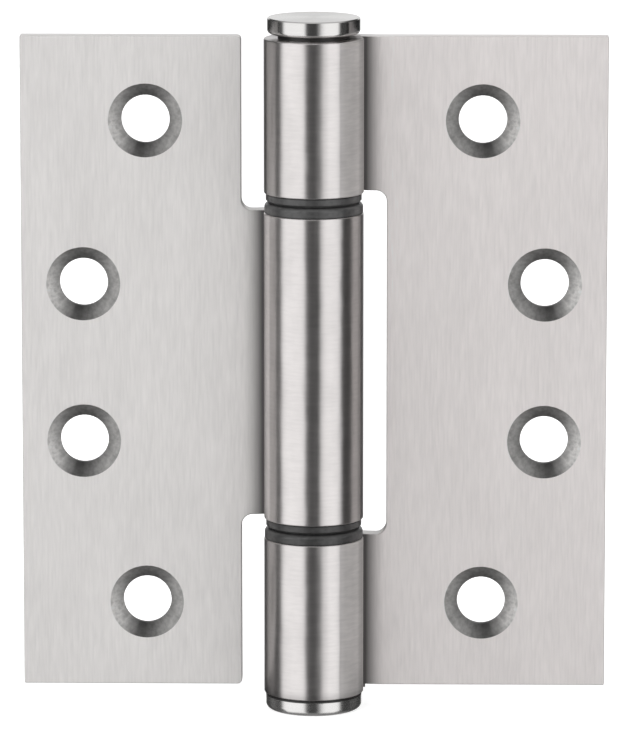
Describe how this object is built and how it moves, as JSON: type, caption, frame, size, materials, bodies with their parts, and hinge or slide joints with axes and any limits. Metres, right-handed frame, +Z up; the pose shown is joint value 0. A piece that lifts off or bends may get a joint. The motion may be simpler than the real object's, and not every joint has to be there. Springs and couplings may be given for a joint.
{
  "type": "door hinge",
  "caption": "Heavy butt hinge laid open flat, with rolled knuckles, flanged bearing bushes, a headed pin that lifts out, and countersunk screw holes.",
  "frame": {"origin": "on the pin axis, at mid height of the leaves", "axes": "+Z up the pin towards its head, +X towards the frame leaf, +Y from the countersunk faces to the mounting faces of the open leaves"},
  "size_m": [0.1016, 0.0172, 0.1214],
  "materials": {
    "leaf_steel": "satin stainless sheet, grain up the leaf, knuckles bright",
    "pin_steel": "turned stainless, fine lathe marks, bright",
    "plug_steel": "turned stainless, satin",
    "bush_metal": "sintered bearing metal, dark grey, dull"
  },
  "bodies": {
    "frame_side": {"frame_leaf": "leaf_steel", "top_knuckle_bush": "bush_metal", "bottom_knuckle_bush": "bush_metal", "bottom_plug": "plug_steel"},
    "door_side": {"door_leaf": "leaf_steel", "middle_knuckle_upper_bush": "bush_metal", "middle_knuckle_lower_bush": "bush_metal"},
    "pin": {"hinge_pin": "pin_steel"}
  },
  "joints": [
    {"name": "door_leaf_swing", "type": "hinge", "parent": "frame_side", "child": "door_side", "pos_m": [0, 0, 0], "axis": [0, 0, 1], "range_deg": [-130, 180]},
    {"name": "pin_lift", "type": "slide", "parent": "frame_side", "child": "pin", "axis": [0, 0, 1], "range_m": [0, 0.118]}
  ]
}
